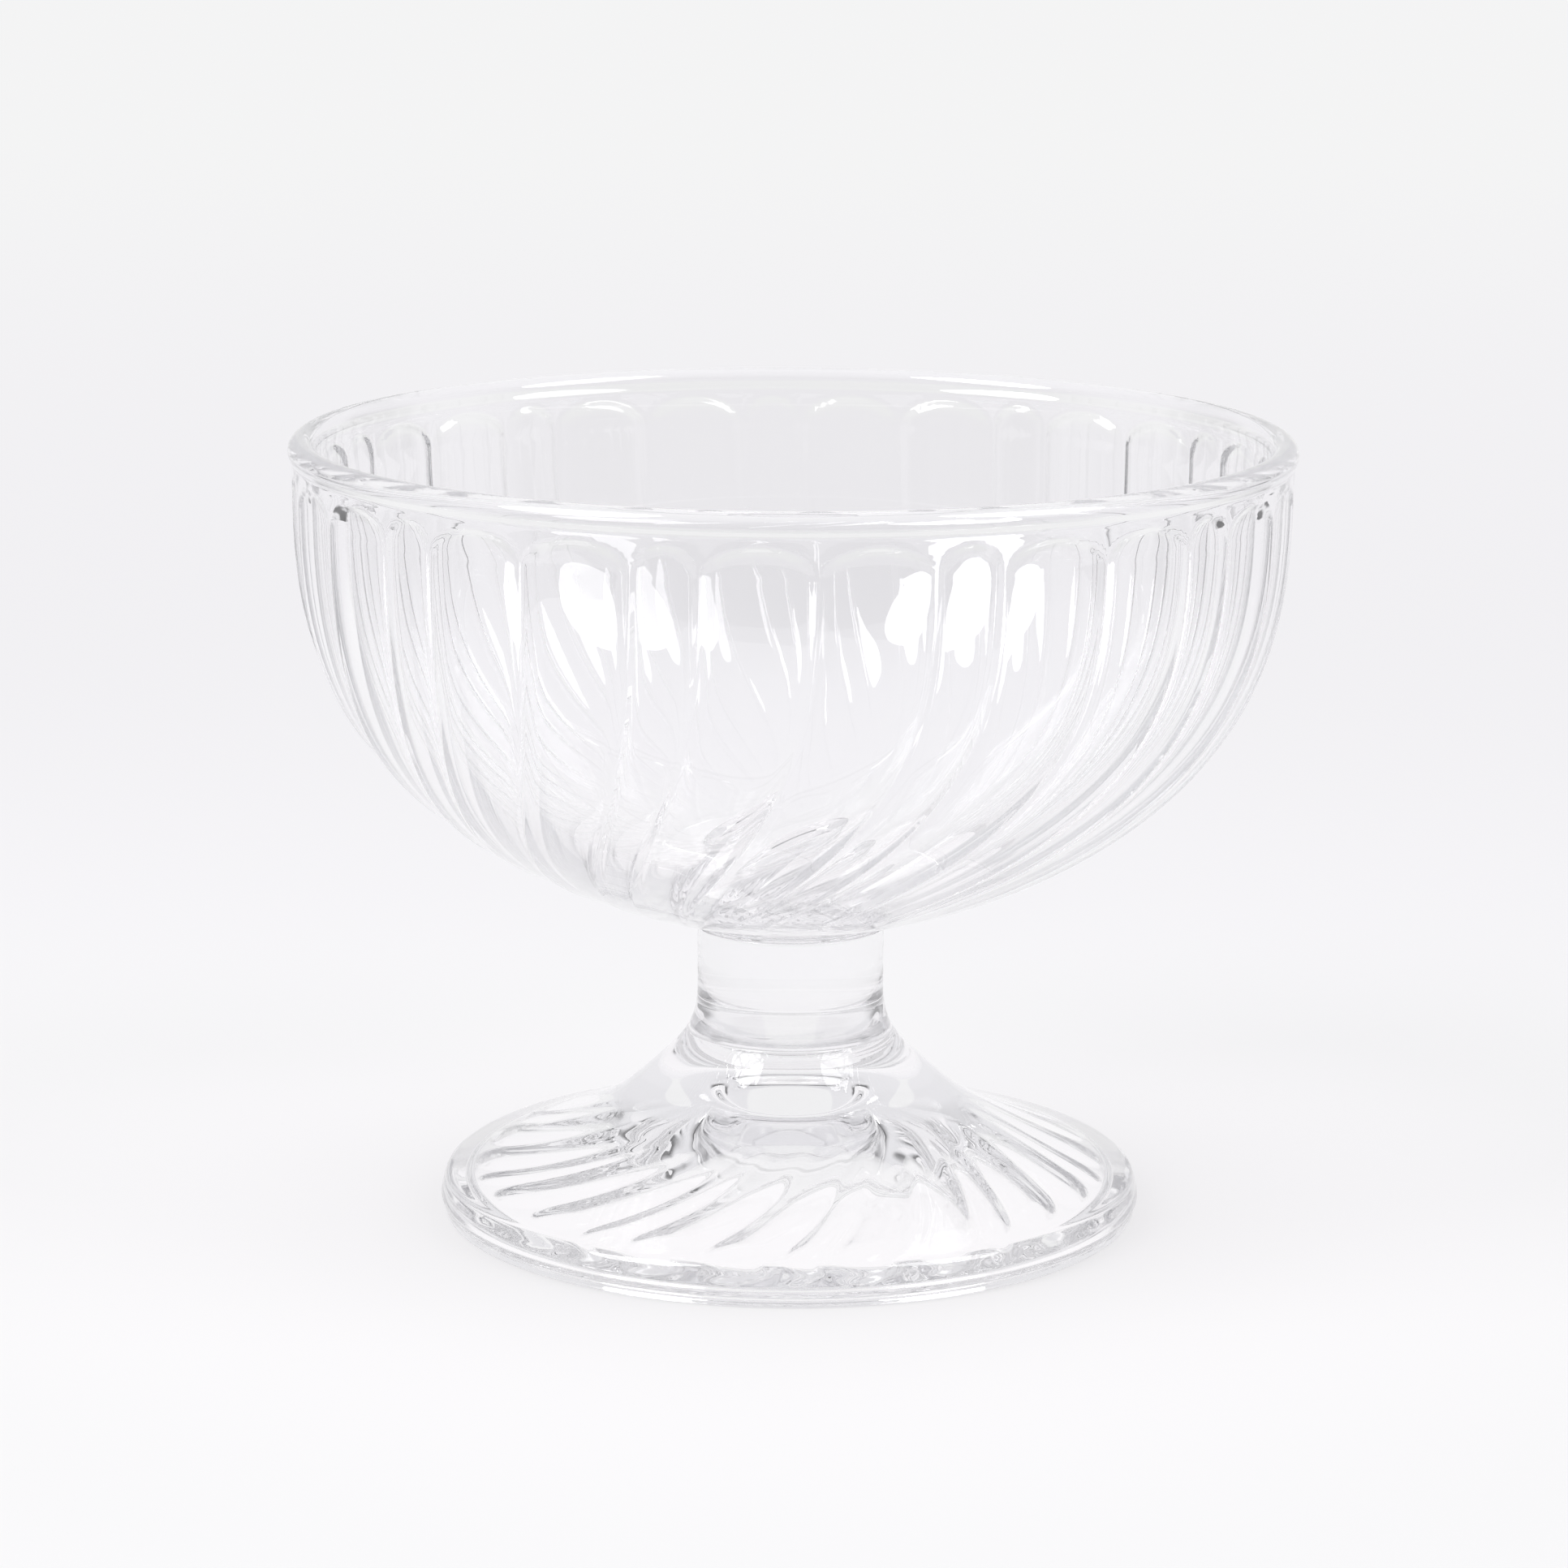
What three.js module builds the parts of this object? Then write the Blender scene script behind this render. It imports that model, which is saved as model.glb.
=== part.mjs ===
import * as THREE from "three";

// Sundae glass: a swirl-fluted bowl on a short stem and a round foot.
// Millimetres, +Z up, origin under the foot, -Y towards the viewer.

// Heights, from the floor up
const footHeight = 19.7; // floor to the joint between foot and stem
const stemLength = 11.3; // joint to joint
const bowlHeight = 49.1; // upper joint to where the bowl's wall stands upright

// Bowl, outside
const bowlRadius = 52.1; // widest part of the wall, below the rim bead
const bowlSink = 0.6; // how far below the joint the rounded outside would meet the axis
const bowlFall = 2.82; // how late the wall turns in, going down
const bowlSpread = 1.58; // how round the underside is
const bowlTurn = 0.86; // share of the radius where the underside turns into the wall

// Rim bead
const beadRise = 1.9; // bead's centre above the upright wall
const beadRadius = 1.4;
const beadBulge = 0.4; // how far the bead stands out from the wall

// Bowl, inside
const wallThickness = 2.6;
const floorThickness = 3.5; // glass between the joint and the inside

// Bowl flutes: repeats of narrow, wide, wide
const bowlRepeats = 11;
const bowlWideDepth = 0.36; // depth of the hollow panels, from the ridges' inner sides
const bowlNarrowDepth = 0.14;
const bowlRidgeHeight = 0.25; // how far the sharp ridges stand out from the panels
const smoothBand = 0.1; // plain wall above the flute ends
const archHeight = 3.1; // height of the rounded flute ends
const bowlFluteInner = 16; // radius at which the flutes have died out, under the bowl
const bowlSwirl = 58; // degrees of swirl between the wall and the axis
const bowlSwirlLag = 1.12; // above 1, the swirl starts slowly below the rim
const bowlFirstNarrow = -13.6; // degrees, centre of the front narrow flute at the top

// Stem
const stemRadius = 9.9;
const stemFlare = 0.9; // how much wider the stem is at its lower end
const stemFlareLength = 4.3; // height of the widened part
const collarRelief = 0.25; // how much wider the bowl's joint face is than the stem

// Foot, outside
const footRadius = 37.4; // widest, near the floor
const footStepIn = 0.5; // how far the step at the floor is set back
const footStepHeight = 1.0;
const footStepSlope = 0.6; // height of the slope from the step to the side band
const footBandHeight = 2.6; // side band
const footBandIn = 0.6; // how far the band leans in at its top
const footMidReach = 0.3; // share of the top's radius where the flare turns into the flat part
const footMidRise = 0.497; // share of the top's height at that place
const flatBend = [0.6, 0.36]; // shares of radius and height that bend the flat part
const flareBend = [0.78, 0.64]; // the same for the flare

// Foot, underside
const restWidth = 3.7; // width of the resting ring
const restRise = 0.9; // upright inside of the resting ring
const hollowSlope = 0.3; // slope of the hollow next to the resting ring
const hollowGain = 0.0008; // how much steeper it gets, per mm inwards
const crownRadius = 7.8; // top of the hollow, round the button
const buttonRadius = 4.9; // flat button in the middle of the hollow
const buttonSlope = 1.0; // width of the button's sloping side
const buttonDrop = 1.2; // how far the button hangs below the top of the hollow
const footRepeats = 9;
const footWideDepth = 0.42;
const footNarrowDepth = 0.3;
const footRidgeHeight = 0.06;
const footFluteMargin = 0.6; // gap between the flute ends and the resting ring
const footFluteRound = 3.2; // radial length of the rounded ends
const footFluteInner = 13.0; // radius at which the flutes have died out
const footSwirl = 45; // degrees of swirl between the resting ring and the axis
const footFirstNarrow = -0.4; // degrees, centre of the front narrow flute at its outer end

// Sizes that follow
const stemTop = footHeight + stemLength;
const bowlTop = stemTop + bowlHeight;
const archTop = bowlTop - smoothBand;
const archFoot = archTop - archHeight;
const collarRadius = stemRadius + collarRelief;
const restOuter = footRadius - footStepIn;
const restInner = restOuter - restWidth;
const footFluteOuter = restInner - footFluteMargin;
const footFluteStart = footFluteOuter - footFluteRound;

// Flutes: share of one repeat that each wide flute takes, and mesh steps across each flute
const wideShare = 0.3865;
const ridgeSharpness = 5; // higher, the ridges take up less of the flute
const wideSteps = 4;
const narrowSteps = 3;
const stemSteps = 48;

// Mesh rows along each stretch of the profiles
const underRows = 8;
const wallRows = 5;
const archRows = 3;
const beadRows = 6;
const insideRows = 8;
const flareRows = 4;
const hollowRows = 5;
const endRows = 2;
const topRows = 4;

const radians = THREE.MathUtils.degToRad;

// Mesh columns round the axis: the angle, the place across the flute (-1 to 1)
// and whether the flute is narrow.
function fluteColumns(repeats, firstNarrow) {
  const repeatAngle = (2 * Math.PI) / repeats;
  const narrowShare = 1 - 2 * wideShare;
  const flutes = [
    { share: narrowShare, steps: narrowSteps, narrow: true },
    { share: wideShare, steps: wideSteps, narrow: false },
    { share: wideShare, steps: wideSteps, narrow: false },
  ];
  const columns = [];
  for (let repeat = 0; repeat < repeats; repeat++) {
    let start = radians(firstNarrow) + (repeat - narrowShare / 2) * repeatAngle;
    for (const flute of flutes) {
      for (let step = 0; step < flute.steps; step++) {
        const part = step / flute.steps;
        const angle = start + part * flute.share * repeatAngle;
        columns.push({ angle, across: 2 * part - 1, narrow: flute.narrow });
      }
      start += flute.share * repeatAngle;
    }
  }
  return columns;
}

// Plain mesh columns for a piece without flutes.
function evenColumns(count) {
  const columns = [];
  for (let i = 0; i < count; i++) {
    columns.push({ angle: (2 * Math.PI * i) / count, across: 1, narrow: false });
  }
  return columns;
}

// A row of the profile: radius, height, and for a fluted row the two depths, the ridge height,
// the end rounding (0 to 1), the swirl in degrees and the way the flutes are cut (a unit direction
// in radius and height).
function row(radius, height, flute = {}) {
  return { radius, height, wide: 0, narrow: 0, ridge: 0, end: 0, swirl: 0, way: [0, 0], ...flute };
}

// Closed skin through rows that run from one point on the axis to another, the glass on their left side.
function skin(firstHeight, rows, lastHeight, columns) {
  const points = [0, 0, firstHeight];
  for (const line of rows) {
    for (const column of columns) {
      const panel = column.narrow ? line.narrow : line.wide;
      const reach = Math.min(1, column.across ** 2 + line.end ** 2);
      const depth = panel * (1 - reach) + line.ridge * (1 - reach ** ridgeSharpness);
      const radius = line.radius + depth * line.way[0];
      const angle = column.angle + radians(line.swirl);
      points.push(radius * Math.sin(angle), -radius * Math.cos(angle), line.height + depth * line.way[1]);
    }
  }
  points.push(0, 0, lastHeight);
  const count = columns.length;
  const last = points.length / 3 - 1;
  const at = (i, j) => 1 + i * count + (j % count);
  const faces = [];
  for (let j = 0; j < count; j++) {
    faces.push(0, at(0, j + 1), at(0, j));
    for (let i = 0; i + 1 < rows.length; i++) {
      faces.push(at(i, j), at(i, j + 1), at(i + 1, j + 1));
      faces.push(at(i, j), at(i + 1, j + 1), at(i + 1, j));
    }
    faces.push(at(rows.length - 1, j), at(rows.length - 1, j + 1), last);
  }
  const geometry = new THREE.BufferGeometry();
  geometry.setAttribute("position", new THREE.Float32BufferAttribute(points, 3));
  geometry.setIndex(faces);
  geometry.computeVertexNormals();
  return geometry;
}

function glassMesh(name, geometry) {
  const glass = new THREE.MeshStandardMaterial({
    color: 0xf2f5f6,
    roughness: 0.03,
    metalness: 0,
    transparent: true,
    opacity: 0.35,
  });
  const mesh = new THREE.Mesh(geometry, glass);
  mesh.name = name;
  return mesh;
}

const between = (a, b, part) => a + (b - a) * part;
const share = (value, from, to) => THREE.MathUtils.clamp((value - from) / (to - from), 0, 1);

// The two rounded surfaces of the bowl: widest radius, height of the widest part, lowest height.
const outside = { widest: bowlRadius, top: bowlTop, lowest: stemTop - bowlSink };
const inside = { widest: bowlRadius - wallThickness, top: bowlTop, lowest: stemTop + floorThickness };

// Radius of a rounded surface at a height.
function curveRadius(surface, height) {
  const drop = Math.max(0, (surface.top - height) / (surface.top - surface.lowest));
  return surface.widest * (1 - drop ** bowlFall) ** (1 / bowlSpread);
}

// Height of a rounded surface at a radius, the same curve the other way round.
function curveHeight(surface, radius) {
  const fill = 1 - (radius / surface.widest) ** bowlSpread;
  return surface.top - (surface.top - surface.lowest) * fill ** (1 / bowlFall);
}

// Swirl of the bowl's flutes at a radius, in degrees.
function bowlSwirlAt(radius) {
  return -bowlSwirl * Math.max(0, 1 - radius / bowlRadius) ** bowlSwirlLag;
}

// A row of the bowl's outside, its flutes cut square to the wall.
function outsideRow(height) {
  const radius = curveRadius(outside, height);
  const reach = 0.05;
  const lean = (curveRadius(outside, height + reach) - curveRadius(outside, height - reach)) / (2 * reach);
  const length = Math.hypot(lean, 1);
  const grown = share(radius, bowlFluteInner, bowlRadius);
  return row(radius, height, {
    wide: bowlWideDepth * grown,
    narrow: bowlNarrowDepth * grown,
    ridge: bowlRidgeHeight * grown,
    end: share(height, archFoot, archTop),
    swirl: bowlSwirlAt(radius),
    way: [-1 / length, lean / length],
  });
}

// Bowl: joint face, fluted outside, bead, smooth inside.
function bowlGeometry() {
  const rows = [row(collarRadius, stemTop, { swirl: bowlSwirlAt(collarRadius) })];

  // Underside, in even steps of radius.
  const turnRadius = bowlTurn * bowlRadius;
  for (let i = 0; i < underRows; i++) {
    rows.push(outsideRow(curveHeight(outside, between(collarRadius, turnRadius, i / underRows))));
  }

  // Wall up to the flute ends, in even steps of height, then the rounded ends.
  const turnHeight = curveHeight(outside, turnRadius);
  for (let i = 0; i < wallRows; i++) {
    rows.push(outsideRow(between(turnHeight, archFoot, i / wallRows)));
  }
  for (let i = 0; i <= archRows; i++) {
    rows.push(outsideRow(between(archFoot, archTop, Math.sin((i / archRows) * (Math.PI / 2)))));
  }

  // Bead, from the outside wall over the top to the inside wall.
  const beadCentre = bowlRadius + beadBulge - beadRadius;
  const beadStart = Math.PI - Math.asin(Math.min(1, (bowlRadius - beadCentre) / beadRadius));
  const beadEnd = Math.asin(THREE.MathUtils.clamp((inside.widest - beadCentre) / beadRadius, -1, 0));
  for (let i = 0; i <= beadRows; i++) {
    const turn = between(beadStart, beadEnd, i / beadRows);
    const radius = beadCentre + beadRadius * Math.sin(turn);
    rows.push(row(radius, bowlTop + beadRise + beadRadius * Math.cos(turn)));
  }

  // Inside, down to the floor, with closer rows where it turns.
  for (let i = 1; i <= insideRows; i++) {
    const radius = inside.widest * Math.cos((i / (insideRows + 1)) * (Math.PI / 2)) ** 0.6;
    rows.push(row(radius, curveHeight(inside, radius)));
  }
  return skin(stemTop, rows, inside.lowest, fluteColumns(bowlRepeats, bowlFirstNarrow));
}

// Stem: straight post that widens a little towards the foot.
function stemGeometry() {
  const rows = [];
  for (let i = 0; i <= flareRows; i++) {
    const part = 1 - i / flareRows;
    rows.push(row(stemRadius + stemFlare * part ** 2, footHeight + stemFlareLength * (1 - part)));
  }
  rows.push(row(stemRadius, stemTop));
  return skin(footHeight, rows, stemTop, evenColumns(stemSteps));
}

// Swirl of the foot's flutes at a radius, in degrees.
function footSwirlAt(radius) {
  return footSwirl * (1 - radius / restInner);
}

// Height of the foot's hollow at a radius.
function hollowHeight(radius) {
  const inward = restInner - radius;
  return restRise + hollowSlope * inward + hollowGain * inward ** 2;
}

// A row of the foot's hollow, its flutes cut straight up.
function hollowRow(radius) {
  const grown = share(radius, footFluteInner, footFluteStart);
  return row(radius, hollowHeight(radius), {
    wide: footWideDepth * grown,
    narrow: footNarrowDepth * grown,
    ridge: footRidgeHeight * grown,
    end: share(radius, footFluteStart, footFluteOuter),
    swirl: footSwirlAt(radius),
    way: [0, 1],
  });
}

// A hollow curve between two points of the foot's top, bent by two shares.
function sag(from, to, bend) {
  return new THREE.QuadraticBezierCurve(
    new THREE.Vector2(from[0], from[1]),
    new THREE.Vector2(between(from[0], to[0], bend[0]), between(from[1], to[1], bend[1])),
    new THREE.Vector2(to[0], to[1]),
  );
}

// Foot: button, hollow with flutes, resting ring, stepped edge, flared top, joint face.
function footGeometry() {
  const crownHeight = hollowHeight(crownRadius);
  const buttonHeight = crownHeight - buttonDrop;
  const buttonEdge = buttonRadius + buttonSlope;
  const rows = [row(buttonRadius, buttonHeight, { swirl: footSwirlAt(buttonRadius) })];
  rows.push(row(buttonEdge, crownHeight, { swirl: footSwirlAt(buttonEdge) }));
  rows.push(hollowRow(crownRadius));
  for (let i = 0; i < hollowRows; i++) {
    rows.push(hollowRow(between(footFluteInner, footFluteStart, i / hollowRows)));
  }
  for (let i = 0; i <= endRows; i++) {
    const part = Math.sin((i / endRows) * (Math.PI / 2));
    rows.push(hollowRow(between(footFluteStart, footFluteOuter, part)));
  }
  rows.push(row(restInner, restRise));
  rows.push(row(restInner, 0));

  // Resting ring and stepped edge.
  const bandLow = footStepHeight + footStepSlope;
  const edge = [footRadius - footBandIn, bandLow + footBandHeight];
  rows.push(row(restOuter, 0));
  rows.push(row(restOuter, footStepHeight));
  rows.push(row(footRadius, bandLow));
  rows.push(row(edge[0], edge[1]));

  // Flat outer top, then the steep flare up to the joint.
  const joint = [stemRadius + stemFlare, footHeight];
  const middle = [between(joint[0], edge[0], footMidReach), between(edge[1], joint[1], footMidRise)];
  for (const curve of [sag(edge, middle, flatBend), sag(middle, joint, flareBend)]) {
    for (let i = 1; i <= topRows; i++) {
      const point = curve.getPoint(i / topRows);
      rows.push(row(point.x, point.y));
    }
  }
  return skin(buttonHeight, rows, footHeight, fluteColumns(footRepeats, footFirstNarrow));
}

const glass = new THREE.Group();
glass.name = "sundae_glass";
glass.add(glassMesh("bowl", bowlGeometry()));
glass.add(glassMesh("stem", stemGeometry()));
glass.add(glassMesh("foot", footGeometry()));

export default glass;
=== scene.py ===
import math

import bmesh
import bpy
from mathutils import Matrix, Vector


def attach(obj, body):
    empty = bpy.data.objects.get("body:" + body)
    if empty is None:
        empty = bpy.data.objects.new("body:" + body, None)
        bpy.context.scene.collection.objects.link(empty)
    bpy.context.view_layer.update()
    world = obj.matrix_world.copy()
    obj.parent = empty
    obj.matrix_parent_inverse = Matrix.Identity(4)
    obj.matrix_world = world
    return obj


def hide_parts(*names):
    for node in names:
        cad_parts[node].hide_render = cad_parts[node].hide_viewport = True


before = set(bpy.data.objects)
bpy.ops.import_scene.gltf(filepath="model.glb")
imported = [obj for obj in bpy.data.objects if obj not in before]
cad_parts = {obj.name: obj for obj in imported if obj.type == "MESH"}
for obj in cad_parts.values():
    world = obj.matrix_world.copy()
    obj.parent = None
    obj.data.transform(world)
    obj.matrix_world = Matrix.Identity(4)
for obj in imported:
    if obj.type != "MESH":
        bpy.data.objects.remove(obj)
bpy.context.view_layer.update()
print("frame loaded:", sorted(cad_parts))

mm = 0.001
scene = bpy.context.scene
scene.view_settings.view_transform = 'Standard'

# light trapped in the wall turns many times before it leaves
turns = {"inGlass": 128, "seeThrough": 64}
scene.cycles.max_bounces = turns["inGlass"]
scene.cycles.transmission_bounces = turns["inGlass"]
scene.cycles.glossy_bounces = turns["inGlass"]
scene.cycles.transparent_max_bounces = turns["seeThrough"]
scene.cycles.caustics_refractive = False
scene.cycles.caustics_reflective = False


# short ways to fill a node tree
def nodeTools(tree):
    nodes, links = tree.nodes, tree.links

    def feed(socket, value):
        if isinstance(value, bpy.types.NodeSocket):
            links.new(value, socket)
        else:
            socket.default_value = value

    def calc(operation, *values):
        node = nodes.new('ShaderNodeMath')
        node.operation = operation
        for socket, value in zip(node.inputs, values):
            feed(socket, value)
        return node.outputs[0]

    def fade(value, span, start, stop, curve='LINEAR'):
        node = nodes.new('ShaderNodeMapRange')
        node.interpolation_type = curve
        node.inputs["From Min"].default_value, node.inputs["From Max"].default_value = span
        node.inputs["To Min"].default_value, node.inputs["To Max"].default_value = start, stop
        links.new(value, node.inputs["Value"])
        return node.outputs["Result"]

    return nodes, links, feed, calc, fade


# camera, in mm and degrees
view = {
    "back": 525.13,
    "height": 160.40,
    "tilt": 12.2957,
    "turn": -0.0859,
    "roll": 0.2865,
    "lens": 116.706,
    "sensor": 36,
}


def aimCamera(v):
    tilt, turn, roll = (math.radians(v[k]) for k in ("tilt", "turn", "roll"))
    level = math.cos(tilt)
    ahead = Vector((math.sin(turn) * level, math.cos(turn) * level, -math.sin(tilt)))
    side = Vector((math.cos(turn), -math.sin(turn), 0))
    up = side.cross(ahead)
    rolledSide = math.cos(roll) * side + math.sin(roll) * up
    rolledUp = math.cos(roll) * up - math.sin(roll) * side
    data = bpy.data.cameras.new("photoCamera")
    data.lens = v["lens"]
    data.sensor_width = v["sensor"]
    data.sensor_fit = 'HORIZONTAL'
    cam = bpy.data.objects.new("photoCamera", data)
    scene.collection.objects.link(cam)
    place = Matrix.Translation((0, -v["back"] * mm, v["height"] * mm))
    cam.matrix_world = place @ Matrix((rolledSide, rolledUp, -ahead)).transposed().to_4x4()
    scene.camera = cam


aimCamera(view)
print("camera placed")


# shared glass finish
pressedGlass = {
    "colour": (0.995, 0.994, 0.998, 1),
    "ior": 1.517,
    "waveScale": 55.0,  # slow ripples of a pressed surface
    "waveDetail": 1.5,
    "waveHeight": 0.00002,
    "smudgeScale": 180.0,  # uneven polish
    "smudgeDetail": 4.0,
    "smudgeSpan": (0.45, 0.75),
    "roughness": (0.0, 0.012),
    "shadowTint": (0.82, 0.82, 0.83, 1),
    "depthTint": (0.8, 0.8, 0.82, 1),  # slow loss of light along a long way through the glass
    "depthLoss": 4.0,
}


def glassFinish(name, g):
    mat = bpy.data.materials.new(name)
    mat.use_nodes = True
    nodes, links, feed, calc, fade = nodeTools(mat.node_tree)
    shader = nodes["Principled BSDF"]
    output = nodes["Material Output"]
    shader.inputs["Base Color"].default_value = g["colour"]
    shader.inputs["IOR"].default_value = g["ior"]
    shader.inputs["Transmission Weight"].default_value = 1.0
    place = nodes.new('ShaderNodeTexCoord').outputs["Object"]

    def unevenness(scale, detail):
        node = nodes.new('ShaderNodeTexNoise')
        node.inputs["Scale"].default_value = scale
        node.inputs["Detail"].default_value = detail
        links.new(place, node.inputs["Vector"])
        return node.outputs["Fac"]

    bump = nodes.new('ShaderNodeBump')
    bump.inputs["Strength"].default_value = 1.0
    bump.inputs["Distance"].default_value = g["waveHeight"]
    links.new(unevenness(g["waveScale"], g["waveDetail"]), bump.inputs["Height"])
    links.new(bump.outputs["Normal"], shader.inputs["Normal"])
    smudge = unevenness(g["smudgeScale"], g["smudgeDetail"])
    links.new(fade(smudge, g["smudgeSpan"], *g["roughness"]), shader.inputs["Roughness"])
    # lamps reach the table through the glass
    path = nodes.new('ShaderNodeLightPath')
    clear = nodes.new('ShaderNodeBsdfTransparent')
    clear.inputs["Color"].default_value = g["shadowTint"]
    mix = nodes.new('ShaderNodeMixShader')
    links.new(path.outputs["Is Shadow Ray"], mix.inputs["Fac"])
    links.new(shader.outputs["BSDF"], mix.inputs[1])
    links.new(clear.outputs["BSDF"], mix.inputs[2])
    links.new(mix.outputs["Shader"], output.inputs["Surface"])
    loss = nodes.new('ShaderNodeVolumeAbsorption')
    loss.inputs["Color"].default_value = g["depthTint"]
    loss.inputs["Density"].default_value = g["depthLoss"]
    links.new(loss.outputs["Volume"], output.inputs["Volume"])
    return mat


clearGlass = glassFinish("clearGlass", pressedGlass)


# Geometry Nodes: rolls an unrolled sheet (x radius, z height) round the axis,
# cuts one repeat of flutes into it and sets the repeats side by side
def flutedRoundTree():
    tree = bpy.data.node_groups.new("flutedRound", 'GeometryNodeTree')
    sockets = (
        ("Sheet", 'NodeSocketGeometry', None),
        ("Repeats", 'NodeSocketInt', 11),
        ("Start", 'NodeSocketFloat', 0.0),
        ("Wide Share", 'NodeSocketFloat', 0.3865),
        ("Wide Depth", 'NodeSocketFloat', 0.0),
        ("Narrow Depth", 'NodeSocketFloat', 0.0),
        ("Ridge", 'NodeSocketFloat', 0.9),
        ("Rib Height", 'NodeSocketFloat', 0.0),
        ("Soften", 'NodeSocketFloat', 0.05),
        ("Calm", 'NodeSocketFloat', 0.0),
        ("Finish", 'NodeSocketMaterial', None),
    )
    for name, kind, value in sockets:
        socket = tree.interface.new_socket(name, in_out='INPUT', socket_type=kind)
        if value is not None:
            socket.default_value = value
    tree.interface.new_socket("Glass", in_out='OUTPUT', socket_type='NodeSocketGeometry')
    nodes, links, feed, calc, fade = nodeTools(tree)
    given = nodes.new('NodeGroupInput').outputs
    result = nodes.new('NodeGroupOutput')

    def stored(name, kind='FLOAT'):
        node = nodes.new('GeometryNodeInputNamedAttribute')
        node.data_type = kind
        node.inputs["Name"].default_value = name
        return node.outputs["Attribute"]

    def split(vector):
        node = nodes.new('ShaderNodeSeparateXYZ')
        links.new(vector, node.inputs[0])
        return node.outputs

    def join(*values):
        node = nodes.new('ShaderNodeCombineXYZ')
        for socket, value in zip(node.inputs, values):
            feed(socket, value)
        return node.outputs[0]

    def either(test, first, second):
        rest = calc('MULTIPLY', calc('SUBTRACT', 1.0, test), second)
        return calc('ADD', calc('MULTIPLY', test, first), rest)

    around, size, end, turn = (stored(n) for n in ("around", "fluteSize", "fluteEnd", "turn"))
    way = split(stored("cutWay", 'FLOAT_VECTOR'))
    here = split(nodes.new('GeometryNodeInputPosition').outputs[0])

    # place across the flute, 0 in the middle and 1 on the ridge
    wide = given["Wide Share"]
    narrowShare = calc('SUBTRACT', 1.0, calc('MULTIPLY', wide, 2.0))
    isNarrow = calc('LESS_THAN', around, narrowShare)
    inNarrow = calc('DIVIDE', around, narrowShare)
    inWide = calc('FRACT', calc('DIVIDE', calc('SUBTRACT', around, narrowShare), wide))
    part = either(isNarrow, inNarrow, inWide)
    across = calc('ABSOLUTE', calc('SUBTRACT', calc('MULTIPLY', part, 2.0), 1.0))

    # hollow arc that turns over into a rounded ridge
    ridge = given["Ridge"]
    past = calc('MAXIMUM', calc('SUBTRACT', across, ridge), 0.0)
    low = calc('MINIMUM', across, ridge)
    arc = calc('MULTIPLY', low, low)
    rise = calc('MULTIPLY', calc('MULTIPLY', past, 2.0), ridge)
    turnOver = calc('MULTIPLY', calc('MULTIPLY', past, past), ridge)
    fall = calc('DIVIDE', turnOver, calc('SUBTRACT', 1.0, ridge))
    section = calc('DIVIDE', calc('SUBTRACT', calc('ADD', arc, rise), fall), ridge)
    reach = calc('ADD', section, calc('MULTIPLY', end, end))
    twice = calc('MULTIPLY', reach, reach)
    steep = calc('MULTIPLY', calc('MULTIPLY', twice, twice), reach)

    # ridges get rounder and ribs die out where the flutes are shallow
    shallow = calc('SUBTRACT', 1.0, size)
    soft = calc('ADD', given["Soften"], calc('MULTIPLY', given["Calm"], shallow))
    panel = calc('SMOOTH_MAX', calc('SUBTRACT', 1.0, reach), 0.0, soft)
    rib = calc('SMOOTH_MAX', calc('SUBTRACT', 1.0, steep), 0.0, soft)
    panelDepth = either(isNarrow, given["Narrow Depth"], given["Wide Depth"])
    ribDepth = calc('MULTIPLY', calc('MULTIPLY', rib, given["Rib Height"]), size)
    cut = calc('ADD', calc('MULTIPLY', panel, panelDepth), ribDepth)
    depth = calc('MULTIPLY', cut, size)

    # roll up
    repeatAngle = calc('DIVIDE', 2 * math.pi, given["Repeats"])
    begin = calc('ADD', given["Start"], turn)
    angle = calc('ADD', begin, calc('MULTIPLY', around, repeatAngle))
    radius = calc('ADD', here["X"], calc('MULTIPLY', depth, way["X"]))
    height = calc('ADD', here["Z"], calc('MULTIPLY', depth, way["Z"]))
    side = calc('MULTIPLY', radius, calc('SINE', angle))
    front = calc('MULTIPLY', calc('MULTIPLY', radius, calc('COSINE', angle)), -1.0)
    rolled = nodes.new('GeometryNodeSetPosition')
    links.new(given["Sheet"], rolled.inputs["Geometry"])
    links.new(join(side, front, height), rolled.inputs["Position"])

    # repeats
    spots = nodes.new('GeometryNodeMeshLine')
    links.new(given["Repeats"], spots.inputs["Count"])
    spots.inputs["Offset"].default_value = (0, 0, 0)
    copies = nodes.new('GeometryNodeInstanceOnPoints')
    links.new(spots.outputs[0], copies.inputs["Points"])
    links.new(rolled.outputs[0], copies.inputs["Instance"])
    index = nodes.new('GeometryNodeInputIndex').outputs[0]
    links.new(join(0.0, 0.0, calc('MULTIPLY', index, repeatAngle)), copies.inputs["Rotation"])
    whole = nodes.new('GeometryNodeRealizeInstances')
    links.new(copies.outputs[0], whole.inputs[0])
    finish = nodes.new('GeometryNodeSetMaterial')
    links.new(whole.outputs[0], finish.inputs["Geometry"])
    links.new(given["Finish"], finish.inputs["Material"])
    links.new(finish.outputs[0], result.inputs[0])
    return tree


flutedRound = flutedRoundTree()
mergeReach = 4e-7  # points of neighbouring repeats nearer than this become one


def sheetRow(radius, height, size=0.0, end=0.0, turn=0.0, way=(0.0, 0.0)):
    return {"radius": radius, "height": height, "size": size, "end": end, "turn": turn, "way": way}


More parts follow.
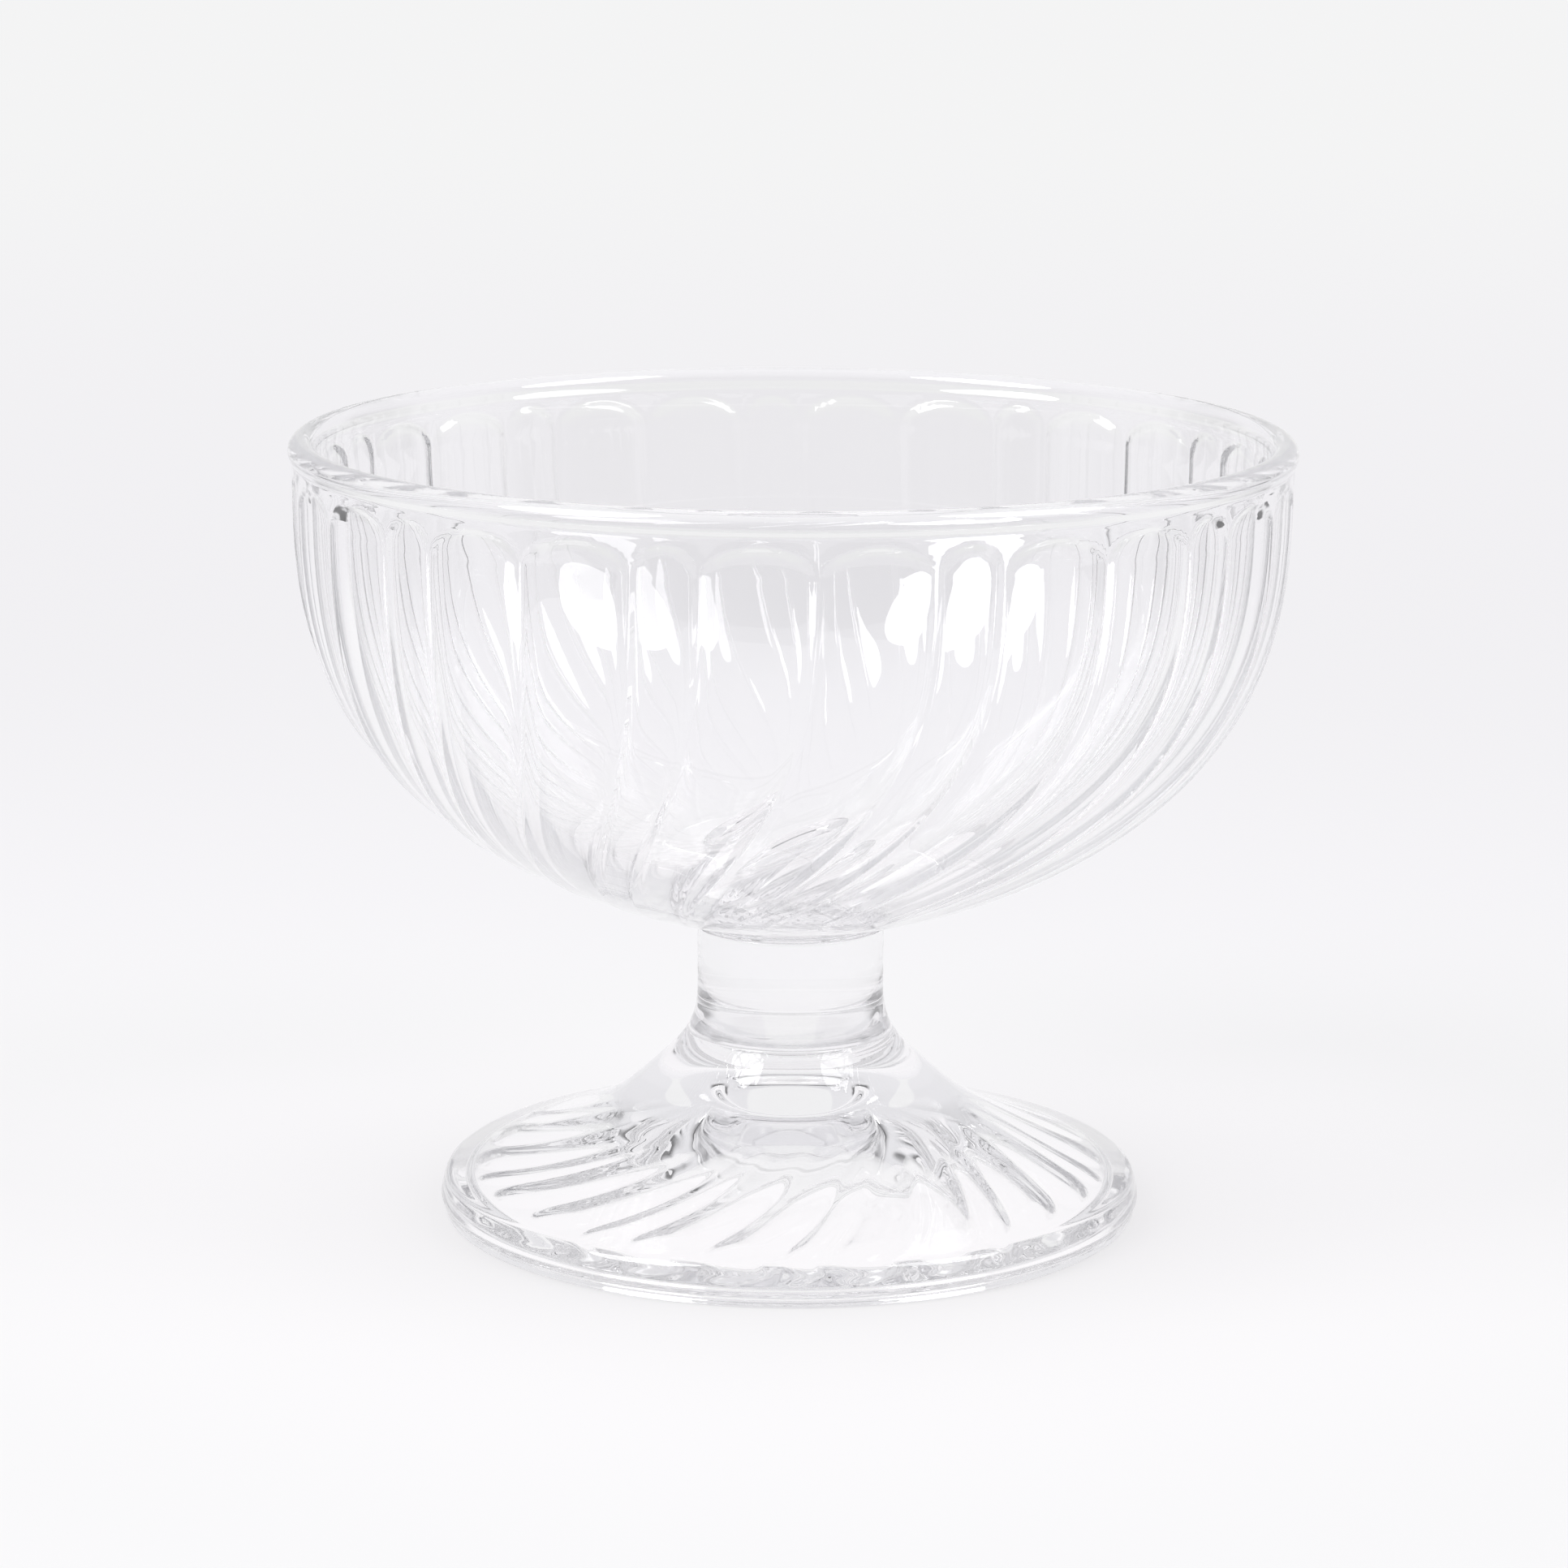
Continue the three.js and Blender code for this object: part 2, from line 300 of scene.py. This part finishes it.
def acrossPlaces(wideShare, wideSteps, narrowSteps):
    edges = (0.0, 1 - 2 * wideShare, 1 - wideShare, 1.0)
    places = []
    for start, stop, steps in zip(edges, edges[1:], (narrowSteps, wideSteps, wideSteps)):
        for i in range(steps):
            places.append(start + (stop - start) * (0.5 - 0.5 * math.cos(math.pi * i / steps)))
    return places + [1.0]


def unrolledSheet(name, rows, places):
    points, facts, faces, starts = [], [], [], []
    for row in rows:
        starts.append(len(points))
        for place in places if row["radius"] > 0 else (0.0,):
            points.append((row["radius"] * mm, 0, row["height"] * mm))
            facts.append((place, row))
    count = len(places)
    for i in range(len(rows) - 1):
        a, b = starts[i], starts[i + 1]
        for j in range(count - 1):
            if rows[i]["radius"] == 0:
                faces.append((a, b + j, b + j + 1))
            elif rows[i + 1]["radius"] == 0:
                faces.append((a + j, a + j + 1, b))
            else:
                faces.append((a + j, a + j + 1, b + j + 1, b + j))
    mesh = bpy.data.meshes.new(name)
    mesh.from_pydata(points, [], faces)
    for key, values in (
        ("around", [p for p, r in facts]),
        ("fluteSize", [r["size"] for p, r in facts]),
        ("fluteEnd", [r["end"] for p, r in facts]),
        ("turn", [math.radians(r["turn"]) for p, r in facts]),
    ):
        mesh.attributes.new(key, 'FLOAT', 'POINT').data.foreach_set("value", values)
    ways = [c for p, r in facts for c in (r["way"][0], 0.0, r["way"][1])]
    mesh.attributes.new("cutWay", 'FLOAT_VECTOR', 'POINT').data.foreach_set("vector", ways)
    return mesh


def rollGlass(name, rows, places, inputs):
    piece = bpy.data.objects.new(name, unrolledSheet(name, rows, places))
    scene.collection.objects.link(piece)
    modifier = piece.modifiers.new("flutedRound", 'NODES')
    modifier.node_group = flutedRound
    inputs = {**inputs, "Finish": clearGlass}
    for item in flutedRound.interface.items_tree:
        if item.in_out == 'INPUT' and item.name in inputs:
            modifier[item.identifier] = inputs[item.name]
    bpy.context.view_layer.update()
    depsgraph = bpy.context.evaluated_depsgraph_get()
    mesh = bpy.data.meshes.new_from_object(piece.evaluated_get(depsgraph))
    piece.modifiers.clear()
    piece.data = mesh
    for key in ("around", "fluteSize", "fluteEnd", "turn", "cutWay"):
        if key in mesh.attributes:
            mesh.attributes.remove(mesh.attributes[key])
    bm = bmesh.new()
    bm.from_mesh(mesh)
    bmesh.ops.remove_doubles(bm, verts=bm.verts, dist=mergeReach)
    bmesh.ops.recalc_face_normals(bm, faces=bm.faces)
    for face in bm.faces:
        face.smooth = True
    openEdges = sum(1 for edge in bm.edges if len(edge.link_faces) != 2)
    volume = round(bm.calc_volume(signed=True) * 1e6, 2)
    bm.to_mesh(mesh)
    bm.free()
    mesh.name = name
    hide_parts(name.split("_")[0])
    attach(piece, "root")
    print("made", name, "faces", len(mesh.polygons), "open edges", openEdges, "volume ml", volume)
    return piece


def between(a, b, part):
    return a + (b - a) * part


def clip(part):
    return min(1.0, max(0.0, part))


def toward(a, b, parts):
    return tuple(between(p, q, part) for p, q, part in zip(a, b, parts))


def bend(start, corner, stop, steps):
    spots = []
    for i in range(1, steps + 1):
        t = i / steps
        shares = ((1 - t) ** 2, 2 * t * (1 - t), t * t)
        spots.append(tuple(sum(k * p for k, p in zip(shares, trio)) for trio in zip(start, corner, stop)))
    return spots


def roundedPath(corners, steps=6):
    spots = [corners[0][:2]]
    for before, (x, z, cut), after in zip(corners, corners[1:], corners[2:]):
        here = Vector((x, z))
        back = Vector(before[:2]) - here
        on = Vector(after[:2]) - here
        start = here + back.normalized() * min(cut, back.length * 0.5)
        stop = here + on.normalized() * min(cut, on.length * 0.5)
        spots.append(tuple(start))
        spots += bend(start, here, stop, steps)
    spots.append(corners[-1][:2])
    return spots


def fluteInputs(p):
    repeatAngle = 360 / p["repeats"]
    narrow = 1 - 2 * p["wideShare"]
    return {
        "Repeats": p["repeats"],
        "Start": math.radians(p["firstNarrow"] - narrow / 2 * repeatAngle),
        "Wide Share": p["wideShare"],
        "Wide Depth": p["wideDepth"] * mm,
        "Narrow Depth": p["narrowDepth"] * mm,
        "Ridge": p["ridge"],
        "Rib Height": p["ribHeight"] * mm,
        "Soften": p["soften"],
        "Calm": p["calm"],
    }


# bowl, in mm and degrees
bowl = {
    "radius": 52.1,
    "top": 80.1,
    "lowest": 30.4,
    "fall": 2.82,
    "spread": 1.58,
    "joint": 31.0,
    "jointRings": (3.0, 6.0, 9.0),
    "boss": 9.75,
    "bossRound": 0.3,
    "bossFillet": 1.3,
    "bossDip": 0.02,
    "bandRise": 0.45,  # smooth band between the arches and the bead
    "beadCentre": (51.1, 82.0),
    "beadRadius": 1.4,
    "beadArc": (122, -90),
    "beadFillet": 0.25,
    "lipFillet": 0.9,
    "insideRadius": 49.5,
    "insideFloor": 34.5,
    "floorRing": 2.2,
    "repeats": 11,
    "firstNarrow": -13.6,
    "wideShare": 0.3865,
    "wideDepth": 0.36,
    "narrowDepth": 0.14,
    "ribHeight": 0.25,
    "archTop": 80.0,
    "archFoot": 76.9,
    "archRun": (0.5, 0.05),  # close rows start below the arches and stop above them
    "fluteInner": 16.0,
    "swirl": 58.0,
    "swirlLag": 1.12,
    "ridge": 0.93,
    "soften": 0.04,
    "calm": 0.4,
    "wallSteps": 58,
    "archSteps": 18,
    "beadSteps": 20,
    "insideSteps": 46,
    "acrossSteps": (16, 12),
}


def bowlRows(b):
    deep = b["top"] - b["lowest"]

    def outerRadius(z):
        return b["radius"] * (1 - clip((b["top"] - z) / deep) ** b["fall"]) ** (1 / b["spread"])

    def outerHeight(r):
        return b["top"] - deep * (1 - (r / b["radius"]) ** b["spread"]) ** (1 / b["fall"])

    def swirlAt(r):
        return -b["swirl"] * max(0.0, 1 - r / b["radius"]) ** b["swirlLag"]

    def wallRow(z):
        r = outerRadius(z)
        lean = (outerRadius(z + 0.01) - outerRadius(z - 0.01)) / 0.02
        length = math.hypot(lean, 1)
        size = clip((r - b["fluteInner"]) / (b["radius"] - b["fluteInner"]))
        end = clip((z - b["archFoot"]) / (b["archTop"] - b["archFoot"]))
        return sheetRow(r, z, size, end, swirlAt(r), (-1 / length, lean / length))

    boss, joint, small = b["boss"], b["joint"], b["bossRound"]
    rows = [sheetRow(0, joint)]
    rows += [sheetRow(r, joint, turn=swirlAt(boss)) for r in b["jointRings"]]
    underRadius = boss + b["bossFillet"]
    under = (underRadius, outerHeight(underRadius))
    edge = [(boss - small, joint)]
    edge += bend((boss - small, joint), (boss, joint), (boss, joint + small), 5)
    edge += bend((boss, joint + small), (boss, outerHeight(boss) + b["bossDip"]), under, 7)
    rows += [sheetRow(r, z, turn=swirlAt(r)) for r, z in edge]
    # underside and wall, even steps of the curve's own angle
    archLow, archHigh = b["archFoot"] - b["archRun"][0], b["archTop"] + b["archRun"][1]
    first = math.acos((underRadius / b["radius"]) ** (b["spread"] / 2))
    last = math.asin(((b["top"] - archLow) / deep) ** (b["fall"] / 2))
    for i in range(1, b["wallSteps"] + 1):
        t = math.sin(between(first, last, i / b["wallSteps"])) ** (2 / b["fall"])
        rows.append(wallRow(b["top"] - deep * t))
    # flute ends
    for i in range(1, b["archSteps"] + 1):
        rows.append(wallRow(between(archLow, archHigh, i / b["archSteps"])))
    # bead
    cr, cz = b["beadCentre"]
    br = b["beadRadius"]
    wall = (b["radius"], b["top"] + b["bandRise"])
    rows.append(sheetRow(*wall))
    arcStart, arcStop = (math.radians(a) for a in b["beadArc"])
    lowSpot = (cr + br * math.sin(arcStart), cz + br * math.cos(arcStart))
    corner = (b["radius"], lowSpot[1] - b["beadFillet"])
    rows += [sheetRow(r, z) for r, z in bend(wall, corner, lowSpot, 5)]
    for i in range(1, b["beadSteps"] + 1):
        turn = between(arcStart, arcStop, i / b["beadSteps"])
        rows.append(sheetRow(cr + br * math.sin(turn), cz + br * math.cos(turn)))
    # inside
    innerTop = (b["insideRadius"], b["top"])
    lip = (cr - br, b["top"] + b["lipFillet"])
    rows += [sheetRow(r, z) for r, z in bend((cr - br, cz), lip, innerTop, 5)]
    for i in range(1, b["insideSteps"]):
        a = (math.pi / 2) * (i / b["insideSteps"])
        r = b["insideRadius"] * math.cos(a) ** (2 / b["spread"])
        z = b["top"] - (b["top"] - b["insideFloor"]) * math.sin(a) ** (2 / b["fall"])
        if r > b["floorRing"]:
            rows.append(sheetRow(r, z))
    rows.append(sheetRow(0, b["insideFloor"]))
    return rows


bowlPlaces = acrossPlaces(bowl["wideShare"], *bowl["acrossSteps"])
rollGlass("bowl_glass", bowlRows(bowl), bowlPlaces, fluteInputs(bowl))


# stem, in mm
stem = {
    "radius": 9.9,
    "top": 31.0,
    "bottom": 19.7,
    "flare": 0.9,
    "flareStart": 24.0,
    "topRound": 0.35,  # rounded top edge, which leaves a fine groove under the bowl
    "sunk": 0.15,  # how far each end is fused into its neighbour
    "bottomInset": 0.12,
    "topInset": 0.1,
    "endRings": (3.0, 7.0),
    "flareSteps": 12,
    "shaftSteps": 6,
    "lipSteps": 6,
    "sides": 120,
}


def stemRows(s):
    low, high = s["bottom"] - s["sunk"], s["top"] + s["sunk"]
    rows = [sheetRow(0, low)]
    rows += [sheetRow(r, low) for r in s["endRings"]]
    rows.append(sheetRow(s["radius"] + s["flare"] - s["bottomInset"], low))
    for i in range(s["flareSteps"] + 1):
        part = 1 - i / s["flareSteps"]
        height = between(s["flareStart"], s["bottom"], part)
        rows.append(sheetRow(s["radius"] + s["flare"] * part ** 2, height))
    shaft = (s["radius"], s["top"] - s["topRound"])
    for i in range(1, s["shaftSteps"] + 1):
        rows.append(sheetRow(s["radius"], between(s["flareStart"], shaft[1], i / s["shaftSteps"])))
    lip = (s["radius"] - s["topRound"], s["top"])
    rows += [sheetRow(r, z) for r, z in bend(shaft, (s["radius"], s["top"]), lip, s["lipSteps"])]
    rows.append(sheetRow(lip[0] - s["topInset"], high))
    rows += [sheetRow(r, high) for r in reversed(s["endRings"])]
    rows.append(sheetRow(0, high))
    return rows


rollGlass("stem_glass", stemRows(stem), [0.0, 1.0], {"Repeats": stem["sides"], "Start": 0.0})


# foot, in mm and degrees
foot = {
    "joint": 19.7,
    "jointRadius": 10.8,
    "jointRings": (8.0, 5.0, 2.5),
    "middle": (18.6, 11.9),
    "flareBend": (0.78, 0.64),
    "flatBend": (0.6, 0.36),
    "edge": (36.8, 4.2),
    "edgeRound": 0.9,
    "edgeLead": (0.12, 0.072),
    "edgeClear": 1.1,
    "band": (37.4, 1.6),
    "bandRound": 0.35,
    "step": (36.9, 1.0),
    "stepRound": 0.2,
    "restInner": 33.2,
    "restRise": 0.9,
    "restRound": 0.3,
    "crownRadius": 7.8,  # top of the hollow, round the button
    "crownRound": 2.0,
    "crownReach": 2.5,
    "buttonRadius": 4.9,  # flat button in the middle of the hollow
    "buttonSlope": 1.0,
    "buttonDrop": 1.2,
    "buttonRound": 0.8,
    "buttonRing": 2.4,
    "slope": 0.3,  # slope of the hollow at the resting ring, and its gain per mm inward
    "slopeGain": 0.0008,
    "repeats": 9,
    "firstNarrow": -0.4,
    "wideShare": 0.3865,
    "wideDepth": 0.42,
    "narrowDepth": 0.3,
    "ribHeight": 0.06,
    "fluteOuter": 32.6,
    "fluteRound": 3.2,
    "fluteInner": 13.0,
    "fluteOnset": 1.5,
    "swirl": 45.0,
    "ridge": 0.75,
    "soften": 0.32,
    "calm": 0.3,
    "hollowSteps": 42,
    "endSteps": 18,
    "flatSteps": 26,
    "flareSteps": 22,
    "acrossSteps": (16, 12),
}


def footRows(f):
    def hollowHeight(r):
        inward = f["restInner"] - r
        return f["restRise"] + f["slope"] * inward + f["slopeGain"] * inward ** 2

    def swirlAt(r):
        return f["swirl"] * (1 - r / f["restInner"])

    roundStart = f["fluteOuter"] - f["fluteRound"]
    crown = hollowHeight(f["crownRadius"])
    button = crown - f["buttonDrop"]
    crownOuter = f["crownRadius"] + f["crownReach"]
    middle = roundedPath([
        (f["buttonRing"], button, 0),
        (f["buttonRadius"], button, f["buttonRound"]),
        (f["buttonRadius"] + f["buttonSlope"], crown, f["buttonRound"]),
        (f["crownRadius"], crown, f["crownRound"]),
        (crownOuter, hollowHeight(crownOuter), 0),
    ])
    rows = [sheetRow(0, button)]
    rows += [sheetRow(r, z, turn=swirlAt(r)) for r, z in middle]

    def hollowRow(r):
        size = clip((r - f["fluteInner"]) / (roundStart - f["fluteInner"])) ** f["fluteOnset"]
        end = clip((r - roundStart) / f["fluteRound"])
        return sheetRow(r, hollowHeight(r), size, end, swirlAt(r), (0, 1))

    for i in range(1, f["hollowSteps"]):
        rows.append(hollowRow(between(crownOuter, roundStart, i / f["hollowSteps"])))
    for i in range(f["endSteps"] + 1):
        rows.append(hollowRow(between(roundStart, f["fluteOuter"], i / f["endSteps"])))
    # resting ring, step, band and edge
    e, m, j = f["edge"], f["middle"], (f["jointRadius"], f["joint"])
    small = f["restRound"]
    ring = [
        (f["fluteOuter"], hollowHeight(f["fluteOuter"]), 0),
        (f["restInner"], f["restRise"], small),
        (f["restInner"] + small, 0, small),
        (f["step"][0], 0, small),
        (*f["step"], f["stepRound"]),
        (*f["band"], f["bandRound"]),
        (*e, f["edgeRound"]),
        (*toward(e, m, f["edgeLead"]), 0),
    ]
    rows += [sheetRow(r, z) for r, z in roundedPath(ring)[1:-1]]
    # top side
    flat = bend(e, toward(e, m, f["flatBend"]), m, f["flatSteps"])
    flare = bend(m, toward(m, j, f["flareBend"]), j, f["flareSteps"])
    rows += [sheetRow(r, z) for r, z in flat + flare if r < e[0] - f["edgeClear"]]
    rows += [sheetRow(r, f["joint"]) for r in f["jointRings"]]
    rows.append(sheetRow(0, f["joint"]))
    return rows


footPlaces = acrossPlaces(foot["wideShare"], *foot["acrossSteps"])
rollGlass("foot_glass", footRows(foot), footPlaces, fluteInputs(foot))


# white sweep behind and under the glass, in metres; its glowing tone carries painted light round and under
# the glass and painted shade behind it
sweep = {
    "halfWidth": 0.5,
    "front": -0.235,  # near edge of the paper, mirrored across the bowl
    "back": 2.6,
    "rise": 2.6,
    "curve": 0.9,
    "curveSteps": 24,
    "gap": 0.00004,
    "paper": (0.8, 0.795, 0.805, 1),
    "roughness": 0.9,
    "gloss": 0.1,
    "farTone": (0.905, 0.905, 0.908, 1),
    # painted light: brighter glow on the floor beside the glass, fading with distance and behind it
    "paintedLightTone": (1.0, 0.988, 1.0, 1),
    "paintedUnderLightTone": (1.0, 0.985, 1.0, 1),  # painted light: floor inside the resting ring glows brighter, as if lit
    "paintedUnderLightReach": (0.033, 0.035),
    # painted shade: darker tone on the floor behind the glass
    "paintedShadeTone": (0.885, 0.876, 0.898, 1),
    "nearShare": 0.6,  # share of even tone beside the glass, where the shadow falls
    "shareReach": (0.1, 0.4),
    "paintedLightReach": (0.055, 0.12),
    "paintedLightBehind": (0.03, 0.1),
    "paintedShadeStart": (0.05, 0.15),
    "paintedShadeEnd": (0.4, 1.3),
}


def sweepPaper(s):
    mat = bpy.data.materials.new("sweepPaper")
    mat.use_nodes = True
    nodes, links, feed, calc, fade = nodeTools(mat.node_tree)
    shader = nodes["Principled BSDF"]
    shader.inputs["Base Color"].default_value = s["paper"]
    shader.inputs["Roughness"].default_value = s["roughness"]
    shader.inputs["Specular IOR Level"].default_value = s["gloss"]
    place = nodes.new('ShaderNodeTexCoord').outputs["Object"]
    length = nodes.new('ShaderNodeVectorMath')
    length.operation = 'LENGTH'
    links.new(place, length.inputs[0])
    reach = length.outputs["Value"]
    parts = nodes.new('ShaderNodeSeparateXYZ')
    links.new(place, parts.inputs[0])
    back = parts.outputs["Y"]

    def ease(value, span, start, stop):
        return fade(value, span, start, stop, 'SMOOTHSTEP')

    def blend(part, first, second):
        node = nodes.new('ShaderNodeMix')
        node.data_type = 'RGBA'
        links.new(part, node.inputs["Factor"])
        feed(node.inputs["A"], first)
        feed(node.inputs["B"], second)
        return node.outputs["Result"]

    # painted shade: darker band behind the glass, easing back to the far tone further off
    tone = blend(ease(back, s["paintedShadeEnd"], 0.0, 1.0), s["paintedShadeTone"], s["farTone"])
    tone = blend(ease(back, s["paintedShadeStart"], 0.0, 1.0), s["farTone"], tone)
    # painted light: a pool of brighter tone round the glass
    paintedLightPool = calc('MULTIPLY', ease(reach, s["paintedLightReach"], 1.0, 0.0), ease(back, s["paintedLightBehind"], 1.0, 0.0))
    tone = blend(paintedLightPool, tone, s["paintedLightTone"])
    # painted light: brighter glowing patch under the foot, shown at full emission share
    paintedUnderLightMask = ease(reach, s["paintedUnderLightReach"], 1.0, 0.0)
    tone = blend(paintedUnderLightMask, tone, s["paintedUnderLightTone"])
    even = calc('MAXIMUM', ease(reach, s["shareReach"], s["nearShare"], 1.0), paintedUnderLightMask)
    path = nodes.new('ShaderNodeLightPath')
    seen = path.outputs["Is Camera Ray"]
    for ray in ("Is Glossy Ray", "Is Transmission Ray"):
        seen = calc('MAXIMUM', seen, path.outputs[ray])
    glow = nodes.new('ShaderNodeEmission')
    links.new(tone, glow.inputs["Color"])
    mix = nodes.new('ShaderNodeMixShader')
    links.new(calc('MULTIPLY', seen, even), mix.inputs["Fac"])
    links.new(shader.outputs["BSDF"], mix.inputs[1])
    links.new(glow.outputs["Emission"], mix.inputs[2])
    links.new(mix.outputs["Shader"], nodes["Material Output"].inputs["Surface"])
    return mat


def makeSweep(s):
    flatEnd = s["back"] - s["curve"]
    line = [(s["front"], -s["gap"]), (flatEnd, -s["gap"])]
    for i in range(1, s["curveSteps"] + 1):
        a = (math.pi / 2) * i / s["curveSteps"]
        line.append((flatEnd + s["curve"] * math.sin(a), s["curve"] - s["curve"] * math.cos(a) - s["gap"]))
    line.append((s["back"], s["rise"]))
    points = [(x, y, z) for y, z in line for x in (-s["halfWidth"], s["halfWidth"])]
    faces = [(2 * i, 2 * i + 1, 2 * i + 3, 2 * i + 2) for i in range(len(line) - 1)]
    mesh = bpy.data.meshes.new("sweep")
    mesh.from_pydata(points, [], faces)
    for face in mesh.polygons:
        face.use_smooth = True
    mesh.materials.append(sweepPaper(s))
    paper = bpy.data.objects.new("sweep", mesh)
    scene.collection.objects.link(paper)


makeSweep(sweep)


# two round soft boxes, in metres and watts
softBoxes = {
    "places": (("leftBox", (-1.05, -0.6, 1.2), 20), ("rightBox", (1.1, -0.5, 1.2), 13)),
    "aim": (0, 0, 0.06),
    "size": (0.82, 1.32),
    "fadeTurns": (6, 11),  # light that has turned often in the glass counts less
    "fadeTo": 0.25,
}


def hangLamps(s):
    for name, at, power in s["places"]:
        data = bpy.data.lights.new(name, 'AREA')
        data.shape = 'ELLIPSE'
        data.size, data.size_y = s["size"]
        data.energy = power
        data.use_nodes = True
        nodes, links, feed, calc, fade = nodeTools(data.node_tree)
        path = nodes.new('ShaderNodeLightPath')
        strength = fade(path.outputs["Ray Depth"], s["fadeTurns"], 1.0, s["fadeTo"])
        links.new(strength, nodes["Emission"].inputs["Strength"])
        box = bpy.data.objects.new(name, data)
        scene.collection.objects.link(box)
        box.location = at
        box.rotation_euler = (Vector(s["aim"]) - Vector(at)).to_track_quat('-Z', 'Y').to_euler()


hangLamps(softBoxes)


# room round the sweep: bright above, dim on the camera's side, dark low down at both flanks;
# spans are in parts of the way from straight across to straight along X, Y or Z
room = {
    "colour": (0.98, 0.975, 1.0, 1),
    "low": 0.85,
    "overhead": 0.8,
    "riseSpan": (0.1, 0.7),
    "behind": 0.2,
    "behindSpan": (-0.6, 0.0),
    "beside": 0.12,
    "besideStart": (0.6, 0.72),
    "besideStop": (0.9, 0.97),
    "besideTop": (0.1, 0.28),
}


def lightRoom(r):
    world = bpy.data.worlds.new("studio")
    scene.world = world
    world.use_nodes = True
    nodes, links, feed, calc, fade = nodeTools(world.node_tree)
    place = nodes.new('ShaderNodeTexCoord')
    parts = nodes.new('ShaderNodeSeparateXYZ')
    links.new(place.outputs["Generated"], parts.inputs[0])
    rise = fade(parts.outputs["Z"], r["riseSpan"], r["low"], r["overhead"])
    ahead = fade(parts.outputs["Y"], r["behindSpan"], r["behind"], 1.0)
    aside = calc('ABSOLUTE', parts.outputs["X"])
    flankStart = fade(aside, r["besideStart"], 0.0, 1.0 - r["beside"])
    flank = calc('MULTIPLY', flankStart, fade(aside, r["besideStop"], 1.0, 0.0))
    lowDown = fade(parts.outputs["Z"], r["besideTop"], 1.0, 0.0)
    lit = fade(calc('MULTIPLY', flank, lowDown), (0.0, 1.0), 1.0, 0.0)
    strength = calc('MULTIPLY', calc('MULTIPLY', rise, ahead), lit)
    links.new(strength, nodes["Background"].inputs["Strength"])
    nodes["Background"].inputs["Color"].default_value = r["colour"]


lightRoom(room)
print("stage and lamps set")

bpy.context.view_layer.update()
